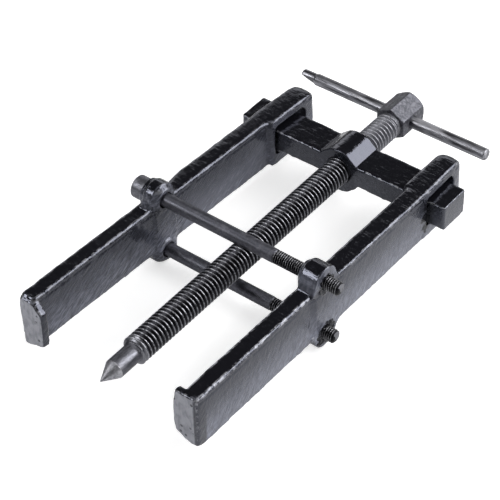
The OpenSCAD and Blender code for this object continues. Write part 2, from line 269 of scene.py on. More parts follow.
@dataclass(frozen=True)
class Enamel:
    """Thick black enamel over a rough forging, with painted sheen on the sides and painted
    highlights on the edges.
    """

    name: str
    colour: Colour = (0.006, 0.006, 0.008)
    dusty: Colour = (0.014, 0.015, 0.020)  # painted sheen on the sides high up
    low: Colour = (0.25, 0.263, 0.325)  # painted sheen low down, lighter towards the bottom
    scale: Colour = (0.46, 0.465, 0.50)  # painted highlight on the edges
    nose: Colour = (0.35, 0.356, 0.395)  # painted reflection on the claw's front
    tint: Colour = (0.80, 0.83, 1.0)
    index: float = 1.75
    lean: float = 28.0  # how far the hammer streaks lean over, in degrees
    streak_depth: float = 0.14
    streak_size: float = 1.2
    streak_long: float = 0.5  # factor along a streak, where less is longer
    streak_span: Span = (0.30, 0.70)  # noise values at which the painted sheen begins and fills it
    streak_floor: float = 0.45  # share of painted sheen between the streaks
    along_edges: Factors = (1.0, 0.35, 1.0)  # draws the painted highlights out along an edge
    nose_end: float = -1.0  # Y where the claw's nose ends, in metres
    nose_side: float = 1.0  # X up to which its front gets the painted reflection, in metres
    ripple_depth: float = 0.13

    def relief(self, g: Graph, top: Socket, side: Socket, streaks: Socket) -> Socket:
        """Lumps and orange peel all over, ripples on top and streaks on the sides.

        Args:
            g: the material's graph.
            top: how much a face looks up or down.
            side: how much it looks sideways.
            streaks: the streaks' noise.

        Returns:
            The bumped normal.
        """
        ripples = g.noise(1.5, 2.0, g.moved(stretch=(0.3, 2.3, 1.0), turn=(0, 0, 6)))
        normal = g.bump(g.noise(3.6, 2.0), 0.10)
        normal = g.bump(g.times(ripples, top), self.ripple_depth, normal)
        normal = g.bump(g.times(streaks, side), self.streak_depth, normal)
        return g.bump(g.noise(0.6, 1.0), 0.02, normal)

    def dusted(self, g: Graph, side: Socket, streaks: Socket, leaning: Socket) -> Socket:
        """Enamel with painted sheen on the sides: in the streaks, more even behind the lugs,
        lighter low down.

        Args:
            g: the material's graph.
            side: how much a face looks sideways.
            streaks: the streaks' noise.
            leaning: coordinates along them.

        Returns:
            The colour.
        """
        height = g.part(g.place, "Z")
        # share of painted sheen: more towards the bottom, and some again from 31 to 34 mm up
        sheen_height_share = g.math(
            "MAXIMUM", g.span(height, 0.0295, 0.008), g.span(height, 0.031, 0.034, 0.0, 0.6)
        )
        mottled = g.span(g.noise(3.0, 4.0, leaning), *MOST, 0.65, 1.0)
        painted_sheen = g.mix(g.times(sheen_height_share, mottled), self.dusty, self.low)
        grain = g.span(streaks, *self.streak_span, self.streak_floor, 1.0)
        y = g.part(g.place, "Y")
        behind = g.span(y, LUGS_BACK * MM, (LUGS_BACK + 6.0) * MM, 0.0, 0.6)
        # painted sheen only on faces that look sideways
        share = g.times(side, g.math("MAXIMUM", grain, behind))
        soft = 0.4 * MM
        share = g.times(share, g.span(y, self.nose_end - soft, self.nose_end + soft, 0.1, 1.0))
        return g.mix(share, self.colour, painted_sheen)

    def rubbed(self, g: Graph) -> Socket:
        """Painted reflection on the claw's front, in patches and with pits.

        Args:
            g: the material's graph.

        Returns:
            Its share.
        """
        ahead = g.times(g.part(g.facing, "Y"), -1.0)
        front = g.math("LESS_THAN", g.part(g.place, "Y"), self.nose_end)
        front = g.times(front, g.span(ahead, 0.82, 0.97))
        soft = 0.5 * MM
        inward = g.span(g.part(g.place, "X"), self.nose_side + soft, self.nose_side - soft)
        patches = g.noise(2.4, 4.0, g.moved(stretch=(1.3, 1.0, 0.6)))
        patches = g.span(patches, 0.33, 0.6, 0.66, 1.0)
        pits = g.math("GREATER_THAN", g.cells(4.0), 0.16)
        pits = g.math("ADD", 0.2, g.times(pits, 0.8))
        return g.times(g.times(front, inward), g.times(patches, pits))

    def chipped(self, g: Graph) -> Socket:
        """Painted highlight, in broken stretches of the edges that the mesh marks.

        Args:
            g: the material's graph.

        Returns:
            Its share.
        """
        rim = g.made("ShaderNodeAttribute", {}, "Fac", attribute_name=PAINTED_GLINT)
        breaks = g.noise(1.3, 3.0, g.moved(stretch=self.along_edges))
        return g.times(rim, g.span(breaks, 0.42, 0.56))

    def material(self) -> Material:
        """Make the enamel.

        Returns:
            The material.
        """
        g = Graph(bpy.data.materials.new(self.name))
        top = g.span(g.math("ABSOLUTE", g.part(g.facing, "Z")), 0.45, 0.85)
        side = g.math("SUBTRACT", 1.0, top)
        leaning = g.moved(stretch=(1.0, 2.0, self.streak_long), turn=(self.lean, 0, 0))
        streaks = g.noise(self.streak_size, 3.0, leaning)
        broken = self.chipped(g)
        # painted reflection on the claw's front
        colour = g.mix(self.rubbed(g), self.dusted(g, side, streaks, leaning), self.nose)
        # painted highlight on the edges
        colour = g.mix(broken, colour, self.scale)
        rough = g.span(g.noise(1.6, 3.0), *MOST, 0.09, 0.16)
        rough = g.math("ADD", rough, g.times(broken, 0.10))
        normal = self.relief(g, top, side, streaks)
        return g.surface(colour, 0.0, rough, normal, index=self.index, tint=self.tint)


@dataclass(frozen=True)
class Steel:
    """Bare or oxidised steel with scale, scratches and wear."""

    name: str
    colour: Colour
    dark: Colour
    light: Colour
    rough: float
    grain: float
    grain_depth: float
    stretch: Factors = (1.0, 1.0, 1.0)  # draws the grain out, where less is longer

    def material(self) -> Material:
        """Make the steel.

        Returns:
            The material.
        """
        g = Graph(bpy.data.materials.new(self.name))
        where = g.moved(stretch=self.stretch)
        grain = g.noise(self.grain, 3.0, where)
        patches = g.noise(2.5, 3.0, where)
        colour = g.mix(g.span(grain, 0.35, 0.7), self.dark, self.colour)
        colour = g.mix(g.span(patches, 0.5, 0.72), colour, self.light)
        rough = g.span(patches, *MOST, self.rough - 0.06, self.rough + 0.08)
        return g.surface(colour, 1.0, rough, g.bump(grain, self.grain_depth))


@dataclass(frozen=True)
class ThreadSteel:
    """Steel thread: dark in the roots, light on the crests."""

    name: str
    centre: Sequence[float]
    axis: Axis
    root: float
    crest: float
    dark: Colour
    light: Colour
    turn: float = 0.0  # degrees about Z that bring the thread onto its axis
    rough: float = 0.36
    rubbed_from: float = 1.0  # Y behind which the roots are rubbed too, in metres
    rubbed_to: float = -1.0  # Y ahead of which they are, in metres
    rubbed: Colour = (0.22, 0.222, 0.245)

    def material(self) -> Material:
        """Make the steel, with its tone set by how far a point is from the axis.

        Returns:
            The material.
        """
        g = Graph(bpy.data.materials.new(self.name))
        local = g.moved(centre=self.centre, turn=(0.0, 0.0, self.turn))
        sides = [a for a in "XYZ" if a != self.axis.name]
        squares = [g.math("POWER", g.math("ABSOLUTE", g.part(local, a)), 2.0) for a in sides]
        radius = g.math("SQRT", g.math("ADD", *squares))
        worn_from = self.root + 0.66 * (self.crest - self.root)
        wear = g.span(radius, worn_from * MM, self.crest * MM)
        share = g.times(wear, g.span(g.noise(0.9, 3.0), 0.38, 0.56, 0.3, 1.0))
        y = g.part(g.place, "Y")
        behind = g.math("GREATER_THAN", y, self.rubbed_from)
        ahead = g.math("LESS_THAN", y, self.rubbed_to)
        low = g.mix(g.math("MAXIMUM", behind, ahead), self.dark, self.rubbed)
        end = g.math("GREATER_THAN", g.part(g.facing, self.axis.name), 0.9)
        low = g.mix(end, low, self.rubbed)
        colour = g.mix(share, low, self.light)
        rough = g.math("ADD", g.times(behind, 0.16), self.rough)
        return g.surface(colour, 1.0, rough, g.bump(g.noise(0.7, 3.0), 0.07))


# shaping


def rise(value: float, low: float, high: float) -> float:
    """Smooth step from 0 at low to 1 at high."""
    t = min(max((value - low) / (high - low), 0.0), 1.0)
    return t * t * (3.0 - 2.0 * t)


def edge_share(first: float, second: float) -> float:
    """How far a normal leans from one axis to another: 1 on an edge, 0 on a flat face."""
    return min((2.0 * abs(first) * abs(second)) ** 1.5, 1.0)


def wander(point: Vector, size: float, seed: float = 0.0) -> float:
    """Smooth noise between about -1 and 1, in patches of a size in millimetres."""
    return noise.noise(point / (size * MM) + Vector((seed, 2.0 * seed, -seed)))


def new_object(name: str, bm: Mesh) -> Object:
    """Turn a bmesh into an object at the origin, smooth shaded.

    Args:
        name: the object's name.
        bm: the mesh, which is freed.

    Returns:
        The object.
    """
    mesh = bpy.data.meshes.new(name)
    for face in bm.faces:
        face.smooth = True
    bm.to_mesh(mesh)
    bm.free()
    made = bpy.data.objects.new(name, mesh)
    bpy.context.scene.collection.objects.link(made)
    return made


def copied(node: Object) -> Mesh:
    """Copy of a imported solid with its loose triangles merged.

    Args:
        node: the solid's object.

    Returns:
        The copy.
    """
    bm = bmesh.new()
    bm.from_mesh(node.data)
    bmesh.ops.remove_doubles(bm, verts=bm.verts, dist=MERGE)
    return bm


def cut_off(bm: Mesh, place: Sequence[float], away: Sequence[float]) -> None:
    """Cut a closed mesh by a plane and cap it.

    Args:
        bm: the mesh.
        place: a point on the plane, in metres.
        away: the direction of what is thrown away.
    """
    geometry = bm.verts[:] + bm.edges[:] + bm.faces[:]
    bmesh.ops.bisect_plane(
        bm, geom=geometry, dist=ON_PLANE, plane_co=place, plane_no=away, clear_outer=True
    )
    rim = [e for e in bm.edges if e.is_boundary]
    bmesh.ops.holes_fill(bm, edges=rim, sides=0)
    bmesh.ops.recalc_face_normals(bm, faces=bm.faces)


def smoothed(bm: Mesh, vertices: Sequence[bmesh.types.BMVert], passes: int) -> None:
    """Smooth vertices and bring the normals up to date.

    Args:
        bm: the mesh.
        vertices: what is smoothed.
        passes: how many times.
    """
    for _ in range(passes):
        bmesh.ops.smooth_vert(
            bm, verts=vertices, factor=0.5, use_axis_x=True, use_axis_y=True, use_axis_z=True
        )
    bm.normal_update()


def reskinned(bm: Mesh, voxel: float) -> Mesh:
    """Even fine skin over a closed mesh, with its sharp edges worn round.

    Args:
        bm: the mesh, which is freed.
        voxel: size of the new faces, in millimetres.

    Returns:
        The new mesh.
    """
    helper = new_object("skin_helper", bm)
    remesh = helper.modifiers.new("skin", "REMESH")
    remesh.mode = "VOXEL"
    remesh.voxel_size = voxel * MM
    remesh.adaptivity = 0.0
    evaluated = helper.evaluated_get(bpy.context.evaluated_depsgraph_get())
    skin = bmesh.new()
    skin.from_mesh(evaluated.to_mesh())
    evaluated.to_mesh_clear()
    old = helper.data
    bpy.data.objects.remove(helper)
    bpy.data.meshes.remove(old)
    smoothed(skin, skin.verts, SKIN_PASSES)
    return skin


def pushed(bm: Mesh, amount: Callable[[Vector, Vector], float]) -> None:
    """Move every vertex along its normal.

    Args:
        bm: the mesh.
        amount: takes a place in metres and a normal and gives a distance in millimetres.
    """
    moves = [(v, v.normal * amount(v.co, v.normal) * MM) for v in bm.verts]
    for vertex, move in moves:
        vertex.co += move


def kept_inside(bm: Mesh, low: Vector, high: Vector) -> None:
    """Hold every vertex inside a box with the given lowest and highest corner."""
    for vertex in bm.verts:
        vertex.co = [min(max(c, a), b) for c, a, b in zip(vertex.co, low, high)]


def turned(
    profile: Sequence[tuple[float, float]], axis: Axis, centre: Vector, steps: int = 64
) -> Mesh:
    """Turned piece.

    Args:
        profile: places along the axis and radii in millimetres, from one end to the other.
        axis: the axis it is turned about.
        centre: a point on the axis, in metres.
        steps: facets round it.

    Returns:
        The closed mesh.
    """
    bm = bmesh.new()
    points = [bm.verts.new(axis.place(a * MM, r * MM, centre)) for a, r in profile]
    edges = [bm.edges.new(pair) for pair in zip(points, points[1:])]
    bmesh.ops.spin(
        bm, geom=points + edges, cent=centre, axis=axis.direction, angle=2.0 * math.pi,
        steps=steps, use_merge=True, use_duplicate=False,
    )
    bmesh.ops.remove_doubles(bm, verts=bm.verts, dist=MERGE)
    bmesh.ops.recalc_face_normals(bm, faces=bm.faces)
    return bm


@dataclass(frozen=True)
class Thread:
    """Right-hand thread, cut as a true helix."""

    axis: Axis
    radius: float
    depth: float
    pitch: float
    start: float
    end: float
    steps: int = 40
    crest: float = 0.12  # share of the pitch that is flat on the crest
    root: float = 0.16  # share of the pitch that is hollow in the root
    hollow: float = 0.02
    shoulder: float = 0.85  # share of the flank below the crest's rounding
    rounding: float = 0.1  # share of the depth that the rounding takes
    spare_turns: int = 3  # cut off again to leave flat ends

    def mesh(self, centre: Vector) -> Mesh:
        """Cut the thread.

        Args:
            centre: a point on the axis, in metres.

        Returns:
            The closed mesh, flat at both ends.
        """
        inner = self.radius - self.depth
        flank = 0.5 - self.crest / 2 - self.root / 2
        rounded = self.radius - self.rounding * self.depth
        shape = [
            (0.0, inner),
            (self.root / 2, inner + self.hollow),
            (self.root / 2 + flank * self.shoulder, rounded),
            (0.5 - self.crest / 2, self.radius),
            (0.5 + self.crest / 2, self.radius),
            (1 - self.root / 2 - flank * self.shoulder, rounded),
            (1.0 - self.root / 2, inner + self.hollow),
            (1.0, inner),
        ]
        turns = math.ceil((self.end - self.start) / self.pitch) + self.spare_turns
        first = self.start - self.spare_turns / 2 * self.pitch
        lead = self.axis.direction * (self.pitch * MM)
        bm = bmesh.new()
        points = [
            bm.verts.new(self.axis.place((first + f * self.pitch) * MM, r * MM, centre))
            for f, r in shape
        ]
        edges = [bm.edges.new(pair) for pair in zip(points, points[1:])]
        bmesh.ops.spin(
            bm, geom=points + edges, cent=centre, axis=self.axis.direction,
            dvec=lead / self.steps, angle=2.0 * math.pi, steps=self.steps, use_duplicate=False,
        )
        one_turn = bpy.data.meshes.new("one_turn")
        bm.to_mesh(one_turn)
        for number in range(1, turns):
            before = len(bm.verts)
            bm.from_mesh(one_turn)
            bm.verts.ensure_lookup_table()
            bmesh.ops.translate(bm, verts=bm.verts[before:], vec=lead * number)
        bpy.data.meshes.remove(one_turn)
        bmesh.ops.remove_doubles(bm, verts=bm.verts, dist=MERGE)
        ends = ((self.start, -self.axis.direction), (self.end, self.axis.direction))
        for place, away in ends:
            cut_off(bm, self.axis.place(place * MM, 0.0, centre), away)
        return bm

    def eased(self, bm: Mesh, centre: Vector, limit: Callable[[float], float]) -> None:
        """Hold the thread inside a radius that changes along it.

        Args:
            bm: the thread.
            centre: a point on the axis, in metres.
            limit: takes a place along the axis and gives the largest radius, in millimetres.
        """
        for vertex in bm.verts:
            along = vertex.co[self.axis.value]
            middle = Vector(centre)
            middle[self.axis.value] = along
            out = vertex.co - middle
            most = limit(along / MM) * MM
            if out.length > most:
                vertex.co = middle + out * (most / out.length)


def joined(meshes: Sequence[tuple[Mesh, int]]) -> Mesh:
    """One mesh of several closed shells, each with its material's number.

    Args:
        meshes: the shells and their materials' numbers. The shells are freed.

    Returns:
        The mesh.
    """
    whole = bmesh.new()
    for bm, slot in meshes:
        for face in bm.faces:
            face.material_index = slot
            face.smooth = True
        part = bpy.data.meshes.new("part")
        bm.to_mesh(part)
        bm.free()
        whole.from_mesh(part)
        bpy.data.meshes.remove(part)
    return whole


def dressed(
    piece: Object, materials: Sequence[Material], body: str, node: str
) -> Object:
    """Give a piece its materials, its body and its solid, and report it.

    Args:
        piece: the object.
        materials: its materials in order.
        body: the body that it moves with.
        node: the solid that it stands for.

    Returns:
        The object.
    """
    for material in materials:
        piece.data.materials.append(material)
    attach(piece, body)
    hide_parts(node)
    LOG.info("%s: %d faces", piece.name, len(piece.data.polygons))
    return piece


# pieces


class Pattern(Enum):
    """Unevenness of a forging: what it adds to the forging's seed, and its size."""

    SWAY = (0.0, 11.0)
    FINE_STREAKS = (3.0, 1.3)
    COARSE_STREAKS = (4.0, 3.1)
    LUMPS = (5.0, 2.6)
    LOW_LUMPS = (7.0, 2.2)
    BEAD = (9.0, 1.7)
    RIM_BREAKS = (13.0, 2.0)
    GROOVE_BREAKS = (15.0, 4.0)
    RAGGED = (17.0, 2.0)
    BLOTCH = (19.0, 1.4)
    RIPPLES = (21.0, 1.3)

    def at(self, place: Vector, seed: float) -> float:
        """Its value at a place, between about -1 and 1."""
        added, size = self.value
        return wander(place, size, seed + added)


@dataclass
class Forging:
    """One enamelled forging: a fine skin over its solid, uneven as a hammered blank."""

    node: str
    slot: str
    seed: float
    voxel: float = 0.40
    sway: float = 0.12
    lumps: float = 0.06
    crown: float = 0.40  # how far the sides are domed, over twice the half height
    half_height: float = 12.0
    bead: float = 0.30
    bead_lumps: float = 0.18
    low_lumps: float = 0.30
    rim_front: float = 1.0  # share of painted highlight on the edges up to the lugs
    rim_rear: float = 0.45  # the same behind them
    clear_of: Span = (1000.0, 0.0)  # middle and half width in X of what has no worn edges and no painted edge highlight
    lean: float = 28.0  # how far the streaks lean over, in degrees
    streaks: float = 0.07
    streak_len: float = 0.45  # factor along a streak, where less is longer
    rear_streaks: float = 0.4  # share of their depth behind the lugs
    ripples: float = 0.045
    groove: float = 0.30  # depth of the groove under the bead
    groove_drop: float = 2.6
    groove_half: float = 0.7
    nose_y: float = -88.0
    nose_rim: float = 0.45  # share of painted highlight on the nose's top edge
    corner_rim: float = 0.0  # the same on its upright edges
    rim_lean: Span = (0.30, 0.44)  # products of a normal's parts where the painted highlight begins and fills
    corner_lean: Span = (0.34, 0.46)
    lug_foot: float = 33.0
    # share of edge bead and of painted edge highlight on the lugs
    lug_rim: float = 0.6
    along_edges: Factors = (1.0, 0.4, 1.0)  # draws the bead's lumps out along an edge
    # rounded corners: lowest and highest Y, lowest Z and passes
    worn: tuple[tuple[float, float, float, int], ...] = (
        (69.5, 90.0, 0.0, 60), (44.0, 90.0, 29.6, 60),
        (-110.0, -95.2, 27.5, 36), (-110.0, -96.0, 0.0, 10),
    )
    # ragged collars of enamel on the outer face, given the darker painted shade: Y, Z and reach
    bolts: tuple[tuple[float, float, float], ...] = ()
    ragged: float = 1.5
    blotch: float = 0.55

    def away(self, place: Vector) -> float:
        """Share of worn edge and of painted edge highlight that a place can have: none on the
        crown, less on the lugs.

        Args:
            place: the place, in metres.

        Returns:
            The share, from 0 to 1.
        """
        middle, reach = self.clear_of
        if abs(place.x / MM - middle) < reach:
            return 0.0
        return self.lug_rim if place.z > self.lug_foot * MM else 1.0

    def rim(self, place: Vector, normal: Vector) -> float:
        """Share of painted highlight on the upper edges.

        Args:
            place: a point of the skin, in metres.
            normal: the skin's direction there.

        Returns:
            The share, from 0 to 1.
        """
        edge = rise(abs(normal.x) * normal.z, *self.rim_lean)
        if place.y < self.nose_y * MM:
            edge = max(edge, self.nose_rim * rise(-normal.y * normal.z, *self.rim_lean))
            edge = max(edge, self.corner_rim * rise(-normal.y * normal.x, *self.corner_lean))
        edge *= self.rim_front if place.y < LUGS_BACK * MM else self.rim_rear
        breaks = rise(Pattern.RIM_BREAKS.at(place, self.seed), -0.35, 0.05)
        return self.away(place) * edge * breaks

    def round_bolts(self, place: Vector, normal: Vector) -> float:
        """Share of ragged enamel collar on the outer face, which also carries the darker painted
        shade.

        Args:
            place: a point of the skin, in metres.
            normal: the skin's direction there.

        Returns:
            The share, from 0 to 1.
        """
        if normal.x < 0.4:
            return 0.0
        most = 0.0
        for y, z, reach in self.bolts:
            out = math.hypot(place.y / MM - y, place.z / MM - z)
            edge = reach + self.ragged * Pattern.RAGGED.at(place, self.seed)
            most = max(most, 1.0 - rise(out, edge - 0.5, edge + 0.4))
        return most

    def wear(self, skin: Mesh) -> None:
        """Round the corners of the tail and the claw, as they were hammered.

        Args:
            skin: the forging's skin.
        """
        for y_low, y_high, z_low, passes in self.worn:
            corner = [
                v for v in skin.verts
                if y_low < v.co.y / MM < y_high and z_low < v.co.z / MM
            ]
            smoothed(skin, corner, passes)

    def streaky(self, place: Vector) -> float:
        """Leaning hammer streaks of the side faces.

        Args:
            place: a point of the skin, in metres.

        Returns:
            Their height, between about -1 and 1.
        """
        lean = math.radians(self.lean)
        along = place.y * math.sin(lean) + place.z * math.cos(lean)
        across = place.y * math.cos(lean) - place.z * math.sin(lean)
        where = Vector((place.x, across, along * self.streak_len))
        fine = Pattern.FINE_STREAKS.at(where, self.seed)
        coarse = Pattern.COARSE_STREAKS.at(where, self.seed)
        deep = self.rear_streaks if place.y > LUGS_BACK * MM else 1.0
        return deep * (fine + 0.5 * coarse)

    def uneven(self, place: Vector, normal: Vector) -> float:
        """Distance that a point of the skin stands out, in millimetres.

        Args:
            place: the point, in metres.
            normal: the skin's direction there.

        Returns:
            The distance.
        """
        seed = self.seed
        height = min(abs(place.z / MM - SCREW_Z) / self.half_height, 1.0)
        out = self.sway * Pattern.SWAY.at(place, seed)
        out += self.lumps * Pattern.LUMPS.at(place, seed)
        out += self.crown * normal.x ** 2 * (1.0 - height ** 2)
        out += self.streaks * max(1.0 - 1.6 * abs(normal.z), 0.0) * self.streaky(place)
        if normal.z > 0.7:
            across = Vector((place.x * 0.35, place.y, 0.0))
            out += self.ripples * self.away(place) * Pattern.RIPPLES.at(across, seed)
        below = place.z / MM - SCREW_Z - (self.half_height - self.groove_drop)
        if abs(normal.x) > 0.9 and abs(below) < self.groove_half:
            broken = rise(Pattern.GROOVE_BREAKS.at(place, seed), -0.4, 0.1)
            out -= self.groove * broken * math.cos(below / self.groove_half * math.pi / 2)
        collar_and_shade = self.round_bolts(place, normal)
        if collar_and_shade:
            out += collar_and_shade * self.blotch * (0.4 + 1.3 * Pattern.BLOTCH.at(place, seed))
        edge = edge_share(normal.x, normal.z)
        if place.y < self.nose_y * MM:
            edge = max(edge, edge_share(normal.y, normal.z))
            edge = max(edge, 0.6 * edge_share(normal.y, normal.x))
        edge *= self.away(place)
        if normal.z > 0.0:
            drawn = Vector([p * a for p, a in zip(place, self.along_edges)])
            out += edge * (self.bead + self.bead_lumps * Pattern.BEAD.at(drawn, seed))
        else:
            out += edge * self.low_lumps * max(Pattern.LOW_LUMPS.at(place, seed), -0.1)
        return out

    def build(self, solid: Object, enamels: Sequence[Material]) -> Object:
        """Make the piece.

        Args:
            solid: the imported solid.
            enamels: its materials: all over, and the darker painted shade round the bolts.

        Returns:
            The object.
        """
        skin = reskinned(copied(solid), self.voxel)
        self.wear(skin)
        # share of painted edge highlight, read by the enamel
        rim = skin.verts.layers.float.new(PAINTED_GLINT)
        for vertex in skin.verts:
            vertex[rim] = self.rim(vertex.co, vertex.normal)
        # faces in the collars get the darker enamel, as painted shade
        for face in skin.faces:
            collar_and_shade = self.round_bolts(face.calc_center_median(), face.normal)
            face.material_index = int(collar_and_shade > 0.5)
        pushed(skin, self.uneven)
        kept_inside(skin, *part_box(self.node))
        piece = new_object(self.node + "_forging", skin)
        return dressed(piece, enamels, self.node, self.node)


@dataclass
class PressingScrew:
    """The pressing screw: turned point and neck, rolled thread, forged hexagon."""

    radius: float = 6.0
    depth: float = 1.15
    pitch: float = 2.0
    point_len: float = 8.2
    neck_radius: float = 4.25
    neck_len: float = 11.0
    head_len: float = 16.2
    head_neck: float = 2.6
    beam_back: float = 64.65  # Y of the crossbeam's back, behind which the thread is rubbed
    ease: float = 0.05  # bevel where cone and neck meet
    head_voxel: float = 0.22

    def turned_parts(self, tip: float, start: float, head: float, centre: Vector) -> list[Mesh]:
        """Cone with a blunt tip, plain neck with a flared end, and collar at the hexagon.

        Args:
            tip: the screw's front end along Y.
            start: where the thread begins.
            head: where the hexagon begins.
            centre: a point on the axis, in metres.

        Returns:
            Point, neck and collar.
        """
        neck, ease, root = self.neck_radius, self.ease, self.radius - self.depth
        taper = (neck - 0.25) / (self.point_len - 0.2)
        back, front = tip + self.point_len, head - self.head_neck
        profiles = (
            [
                (tip, 0.0), (tip + 0.2, 0.25), (tip + 0.6, 0.25 + 0.4 * taper),
                (back - 0.5, neck - 0.45 * taper), (back - ease, neck - 0.03),
                (back + ease, neck - ease), (back + ease, 0.0),
            ],
            [
                (back - ease, 0.0), (back - ease, neck - ease), (back + ease, neck),
                (back + 0.5, neck), (start - 1.2, neck), (start - 0.6, neck + 0.05),
                (start, neck + 0.5), (start + 1.0, neck + 0.5), (start + 1.0, 0.0),
            ],
            [
                (front - 0.5, 0.0), (front - 0.5, root + 0.3), (front + 0.4, root + 0.6),
                (head - 0.4, root + 0.75), (head + 0.5, root + 1.3), (head + 0.5, 0.0),
            ],
        )
        return [turned(profile, Axis.Y, centre) for profile in profiles]

    def hexagon(self, solid: Object, head: float) -> Mesh:
        """Forged hexagon with its cross hole, cut from the solid and worn.

        Args:
            solid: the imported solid.
            head: where the hexagon begins along Y.

        Returns:
            The closed mesh.
        """
        bm = copied(solid)
        cut_off(bm, (0.0, head * MM, 0.0), (0.0, -1.0, 0.0))
        bm = reskinned(bm, self.head_voxel)
        pushed(bm, lambda p, n: 0.05 * wander(p, 3.0) + 0.03 * wander(p, 0.9, 3.0))
        return bm

    def finishes(self, start: float, centre: Vector) -> list[Material]:
        """Materials in the order point, thread, hexagon, neck.

        Args:
            start: where the thread begins along Y.
            centre: a point on the axis, in metres.

        Returns:
            The materials.
        """
        point = Steel(
            "ground_point", (0.50, 0.502, 0.54), (0.30, 0.302, 0.33), (0.66, 0.66, 0.70),
            rough=0.44, grain=0.6, grain_depth=0.04, stretch=(1.0, 0.4, 1.0),
        )
        thread = ThreadSteel(
            "screw_thread", tuple(centre), Axis.Y, self.radius - self.depth, self.radius,
            (0.024, 0.024, 0.028), (0.50, 0.505, 0.55),
            rubbed_from=self.beam_back * MM, rubbed_to=(start + 3.6) * MM,
        )
        hexagon = Steel(
            "forged_hexagon", (0.19, 0.192, 0.218), (0.095, 0.097, 0.11), (0.25, 0.25, 0.28),
            rough=0.58, grain=0.9, grain_depth=0.07,
        )
        neck = Steel(
            "turned_neck", (0.22, 0.222, 0.25), (0.14, 0.142, 0.16), (0.30, 0.30, 0.33),
            rough=0.46, grain=0.7, grain_depth=0.04, stretch=(1.0, 0.3, 1.0),
        )
        return [finish.material() for finish in (point, thread, hexagon, neck)]

    def build(self, solid: Object) -> Object:
        """Make the screw.

        Args:
            solid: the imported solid.

        Returns:
            The object.
        """
        low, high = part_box("spindle")
        centre = (low + high) / 2
        tip, head = low.y / MM, high.y / MM - self.head_len
        start = tip + self.point_len + self.neck_len
        end = head - self.head_neck + 1.0
        thread = Thread(Axis.Y, self.radius, self.depth, self.pitch, start, end)
        cut = thread.mesh(centre)
        front = self.neck_radius + 0.35
        thread.eased(cut, centre, lambda y: front + 2.4 * max(y - start, 0.0))
        hexagon = self.hexagon(solid, head)
        kept_inside(hexagon, low, high)
        point, neck, collar = self.turned_parts(tip, start, head, centre)
        shells = [(point, 0), (cut, 1), (collar, 1), (hexagon, 2), (neck, 3)]
        piece = new_object("pressing_screw", joined(shells))
        return dressed(piece, self.finishes(start, centre), "screw", "spindle")


@dataclass
class TommyBar:
    """The loose bar in the hexagon's cross hole."""

    voxel: float = 0.25
    seed: float = 3.0

    def build(self, solid: Object) -> Object:
        """Make the bar.

        Args:
            solid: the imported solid.

        Returns:
            The object.
        """
        skin = reskinned(copied(solid), self.voxel)
        pushed(skin, lambda p, n: 0.02 * wander(p, 6.0, self.seed) + 0.006 * wander(p, 0.8))
        piece = new_object("loose_bar", skin)
        steel = Steel(
            "bar_steel", (0.40, 0.402, 0.44), (0.09, 0.09, 0.10), (0.60, 0.60, 0.64),
            rough=0.40, grain=1.0, grain_depth=0.02, stretch=(0.09, 1.0, 1.0),
        )
        return dressed(piece, [steel.material()], "tommy_bar", "tommy_bar")


